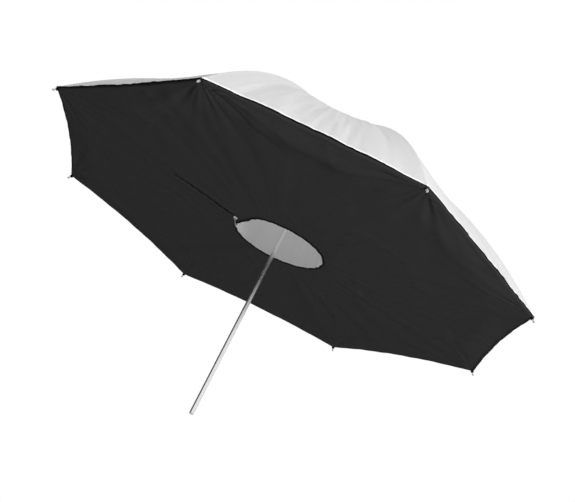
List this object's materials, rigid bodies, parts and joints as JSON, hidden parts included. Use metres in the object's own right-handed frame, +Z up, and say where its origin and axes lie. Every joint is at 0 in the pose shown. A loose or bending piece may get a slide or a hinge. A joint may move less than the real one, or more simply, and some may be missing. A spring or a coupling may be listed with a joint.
{
  "type": "umbrella reflector",
  "caption": "Folding photo umbrella: white light-spreading canopy on steel ribs, with a black front cover, round flash opening and zip, on a plain round shaft.",
  "frame": {"origin": "centre of the flat free end of the shaft", "axes": "+Z up the shaft to the canopy top; -X towards the hem corner that the zip runs to; a rib every 45 degrees from X"},
  "size_m": [1.0096, 1.0096, 0.6464],
  "materials": {
    "polished_tube": "polished",
    "spring_steel": "satin",
    "white_cloth": "matte woven, lets light through",
    "black_cloth": "matte woven",
    "black_plastic": "moulded",
    "zip_tape": "woven tape with nylon coil",
    "zip_metal": "bright"
  },
  "bodies": {
    "shaft": {"shaft": "polished_tube", "shaft_plug": "black_plastic", "notch_hub": "black_plastic", "notch_wire": "spring_steel", "canopy_washer": "black_plastic", "top_cap": "polished_tube", "upper_stop": "black_plastic"},
    "runner": {"runner": "black_plastic", "runner_wire": "spring_steel", "latch_pin": "spring_steel"},
    "latch": {"runner_latch": "black_plastic"},
    "rib_1": {"rib_1": "spring_steel", "rib_clip_1": "spring_steel", "canopy_panel_1": "white_cloth"},
    "stretcher_1": {"stretcher_1": "spring_steel"},
    "cover_1": {"cover_panel_1": "black_cloth", "zip_tape": "zip_tape"},
    "rib_2": {"rib_2": "spring_steel", "rib_clip_2": "spring_steel", "canopy_panel_2": "white_cloth"},
    "stretcher_2": {"stretcher_2": "spring_steel"},
    "cover_2": {"cover_panel_2": "black_cloth"},
    "rib_3": {"rib_3": "spring_steel", "rib_clip_3": "spring_steel", "canopy_panel_3": "white_cloth"},
    "stretcher_3": {"stretcher_3": "spring_steel"},
    "cover_3": {"cover_panel_3": "black_cloth"},
    "rib_4": {"rib_4": "spring_steel", "rib_clip_4": "spring_steel", "canopy_panel_4": "white_cloth"},
    "stretcher_4": {"stretcher_4": "spring_steel"},
    "cover_4": {"cover_panel_4": "black_cloth"},
    "rib_5": {"rib_5": "spring_steel", "rib_clip_5": "spring_steel", "canopy_panel_5": "white_cloth"},
    "stretcher_5": {"stretcher_5": "spring_steel"},
    "cover_5": {"cover_panel_5": "black_cloth"},
    "rib_6": {"rib_6": "spring_steel", "rib_clip_6": "spring_steel", "canopy_panel_6": "white_cloth"},
    "stretcher_6": {"stretcher_6": "spring_steel"},
    "cover_6": {"cover_panel_6": "black_cloth"},
    "rib_7": {"rib_7": "spring_steel", "rib_clip_7": "spring_steel", "canopy_panel_7": "white_cloth"},
    "stretcher_7": {"stretcher_7": "spring_steel"},
    "cover_7": {"cover_panel_7": "black_cloth"},
    "rib_8": {"rib_8": "spring_steel", "rib_clip_8": "spring_steel", "canopy_panel_8": "white_cloth"},
    "stretcher_8": {"stretcher_8": "spring_steel"},
    "cover_8": {"cover_panel_8": "black_cloth"},
    "zip_slider": {"zip_slider": "zip_metal"},
    "zip_pull": {"zip_pull": "zip_metal"}
  },
  "joints": [
    {"name": "runner_slide", "type": "slide", "parent": "shaft", "child": "runner", "axis": [0, 0, -1], "range_m": [0, 0.295]},
    {"name": "rib_fold_1", "type": "hinge", "parent": "shaft", "child": "rib_1", "pos_m": [-0.011, 0, 0.6334], "axis": [0, -1, 0], "range_deg": [0, 57], "deforming": ["canopy_panel_1"]},
    {"name": "stretcher_fold_1", "type": "hinge", "parent": "rib_1", "child": "stretcher_1", "pos_m": [-0.22156, 0, 0.56876], "axis": [0, -1, 0], "range_deg": [-114.5, 0]},
    {"name": "cover_fold_1", "type": "hinge", "parent": "rib_1", "child": "cover_1", "pos_m": [-0.48741, 0, 0.3754], "axis": [0, -1, 0], "range_deg": [-152.5, 0], "deforming": ["cover_panel_1"]},
    {"name": "rib_fold_2", "type": "hinge", "parent": "shaft", "child": "rib_2", "pos_m": [-0.00778, -0.00778, 0.6334], "axis": [0.7071, -0.7071, 0], "range_deg": [0, 57], "deforming": ["canopy_panel_2"]},
    {"name": "stretcher_fold_2", "type": "hinge", "parent": "rib_2", "child": "stretcher_2", "pos_m": [-0.15666, -0.15666, 0.56876], "axis": [0.7071, -0.7071, 0], "range_deg": [-114.5, 0]},
    {"name": "cover_fold_2", "type": "hinge", "parent": "rib_2", "child": "cover_2", "pos_m": [-0.34465, -0.34465, 0.3754], "axis": [0.7071, -0.7071, 0], "range_deg": [-152.5, 0], "deforming": ["cover_panel_2"]},
    {"name": "rib_fold_3", "type": "hinge", "parent": "shaft", "child": "rib_3", "pos_m": [0, -0.011, 0.6334], "axis": [1, 0, 0], "range_deg": [0, 57], "deforming": ["canopy_panel_3"]},
    {"name": "stretcher_fold_3", "type": "hinge", "parent": "rib_3", "child": "stretcher_3", "pos_m": [0, -0.22156, 0.56876], "axis": [1, 0, 0], "range_deg": [-114.5, 0]},
    {"name": "cover_fold_3", "type": "hinge", "parent": "rib_3", "child": "cover_3", "pos_m": [0, -0.48741, 0.3754], "axis": [1, 0, 0], "range_deg": [-152.5, 0], "deforming": ["cover_panel_3"]},
    {"name": "rib_fold_4", "type": "hinge", "parent": "shaft", "child": "rib_4", "pos_m": [0.00778, -0.00778, 0.6334], "axis": [0.7071, 0.7071, 0], "range_deg": [0, 57], "deforming": ["canopy_panel_4"]},
    {"name": "stretcher_fold_4", "type": "hinge", "parent": "rib_4", "child": "stretcher_4", "pos_m": [0.15666, -0.15666, 0.56876], "axis": [0.7071, 0.7071, 0], "range_deg": [-114.5, 0]},
    {"name": "cover_fold_4", "type": "hinge", "parent": "rib_4", "child": "cover_4", "pos_m": [0.34465, -0.34465, 0.3754], "axis": [0.7071, 0.7071, 0], "range_deg": [-152.5, 0], "deforming": ["cover_panel_4"]},
    {"name": "rib_fold_5", "type": "hinge", "parent": "shaft", "child": "rib_5", "pos_m": [0.011, 0, 0.6334], "axis": [0, 1, 0], "range_deg": [0, 57], "deforming": ["canopy_panel_5"]},
    {"name": "stretcher_fold_5", "type": "hinge", "parent": "rib_5", "child": "stretcher_5", "pos_m": [0.22156, 0, 0.56876], "axis": [0, 1, 0], "range_deg": [-114.5, 0]},
    {"name": "cover_fold_5", "type": "hinge", "parent": "rib_5", "child": "cover_5", "pos_m": [0.48741, 0, 0.3754], "axis": [0, 1, 0], "range_deg": [-152.5, 0], "deforming": ["cover_panel_5"]},
    {"name": "rib_fold_6", "type": "hinge", "parent": "shaft", "child": "rib_6", "pos_m": [0.00778, 0.00778, 0.6334], "axis": [-0.7071, 0.7071, 0], "range_deg": [0, 57], "deforming": ["canopy_panel_6"]},
    {"name": "stretcher_fold_6", "type": "hinge", "parent": "rib_6", "child": "stretcher_6", "pos_m": [0.15666, 0.15666, 0.56876], "axis": [-0.7071, 0.7071, 0], "range_deg": [-114.5, 0]},
    {"name": "cover_fold_6", "type": "hinge", "parent": "rib_6", "child": "cover_6", "pos_m": [0.34465, 0.34465, 0.3754], "axis": [-0.7071, 0.7071, 0], "range_deg": [-152.5, 0], "deforming": ["cover_panel_6"]},
    {"name": "rib_fold_7", "type": "hinge", "parent": "shaft", "child": "rib_7", "pos_m": [0, 0.011, 0.6334], "axis": [-1, 0, 0], "range_deg": [0, 57], "deforming": ["canopy_panel_7"]},
    {"name": "stretcher_fold_7", "type": "hinge", "parent": "rib_7", "child": "stretcher_7", "pos_m": [0, 0.22156, 0.56876], "axis": [-1, 0, 0], "range_deg": [-114.5, 0]},
    {"name": "cover_fold_7", "type": "hinge", "parent": "rib_7", "child": "cover_7", "pos_m": [0, 0.48741, 0.3754], "axis": [-1, 0, 0], "range_deg": [-152.5, 0], "deforming": ["cover_panel_7"]},
    {"name": "rib_fold_8", "type": "hinge", "parent": "shaft", "child": "rib_8", "pos_m": [-0.00778, 0.00778, 0.6334], "axis": [-0.7071, -0.7071, 0], "range_deg": [0, 57], "deforming": ["canopy_panel_8"]},
    {"name": "stretcher_fold_8", "type": "hinge", "parent": "rib_8", "child": "stretcher_8", "pos_m": [-0.15666, 0.15666, 0.56876], "axis": [-0.7071, -0.7071, 0], "range_deg": [-114.5, 0]},
    {"name": "cover_fold_8", "type": "hinge", "parent": "rib_8", "child": "cover_8", "pos_m": [-0.34465, 0.34465, 0.3754], "axis": [-0.7071, -0.7071, 0], "range_deg": [-152.5, 0], "deforming": ["cover_panel_8"]},
    {"name": "latch_press", "type": "hinge", "parent": "runner", "child": "latch", "pos_m": [-0.0026, -0.00628, 0.48012], "axis": [-0.9239, 0.3827, 0], "range_deg": [0, 7], "stiffness_Nm_per_rad": 0.08},
    {"name": "zip_slide", "type": "slide", "parent": "cover_1", "child": "zip_slider", "axis": [-0.9998, 0, 0.0185], "range_m": [0, 0.13]},
    {"name": "zip_pull_swing", "type": "hinge", "parent": "zip_slider", "child": "zip_pull", "pos_m": [-0.0978, 0.0096, 0.36199], "axis": [0, 1, 0], "range_deg": [-45, 45]}
  ],
  "couplings": [
    {"joint": "runner_slide", "follows": "rib_fold_1", "m_per_rad": 0.29583},
    {"joint": "stretcher_fold_1", "follows": "rib_fold_1", "ratio": -2},
    {"joint": "cover_fold_1", "follows": "rib_fold_1", "ratio": -2.6667},
    {"joint": "rib_fold_2", "follows": "rib_fold_1", "ratio": 1},
    {"joint": "stretcher_fold_2", "follows": "rib_fold_1", "ratio": -2},
    {"joint": "cover_fold_2", "follows": "rib_fold_1", "ratio": -2.6667},
    {"joint": "rib_fold_3", "follows": "rib_fold_1", "ratio": 1},
    {"joint": "stretcher_fold_3", "follows": "rib_fold_1", "ratio": -2},
    {"joint": "cover_fold_3", "follows": "rib_fold_1", "ratio": -2.6667},
    {"joint": "rib_fold_4", "follows": "rib_fold_1", "ratio": 1},
    {"joint": "stretcher_fold_4", "follows": "rib_fold_1", "ratio": -2},
    {"joint": "cover_fold_4", "follows": "rib_fold_1", "ratio": -2.6667},
    {"joint": "rib_fold_5", "follows": "rib_fold_1", "ratio": 1},
    {"joint": "stretcher_fold_5", "follows": "rib_fold_1", "ratio": -2},
    {"joint": "cover_fold_5", "follows": "rib_fold_1", "ratio": -2.6667},
    {"joint": "rib_fold_6", "follows": "rib_fold_1", "ratio": 1},
    {"joint": "stretcher_fold_6", "follows": "rib_fold_1", "ratio": -2},
    {"joint": "cover_fold_6", "follows": "rib_fold_1", "ratio": -2.6667},
    {"joint": "rib_fold_7", "follows": "rib_fold_1", "ratio": 1},
    {"joint": "stretcher_fold_7", "follows": "rib_fold_1", "ratio": -2},
    {"joint": "cover_fold_7", "follows": "rib_fold_1", "ratio": -2.6667},
    {"joint": "rib_fold_8", "follows": "rib_fold_1", "ratio": 1},
    {"joint": "stretcher_fold_8", "follows": "rib_fold_1", "ratio": -2},
    {"joint": "cover_fold_8", "follows": "rib_fold_1", "ratio": -2.6667}
  ]
}
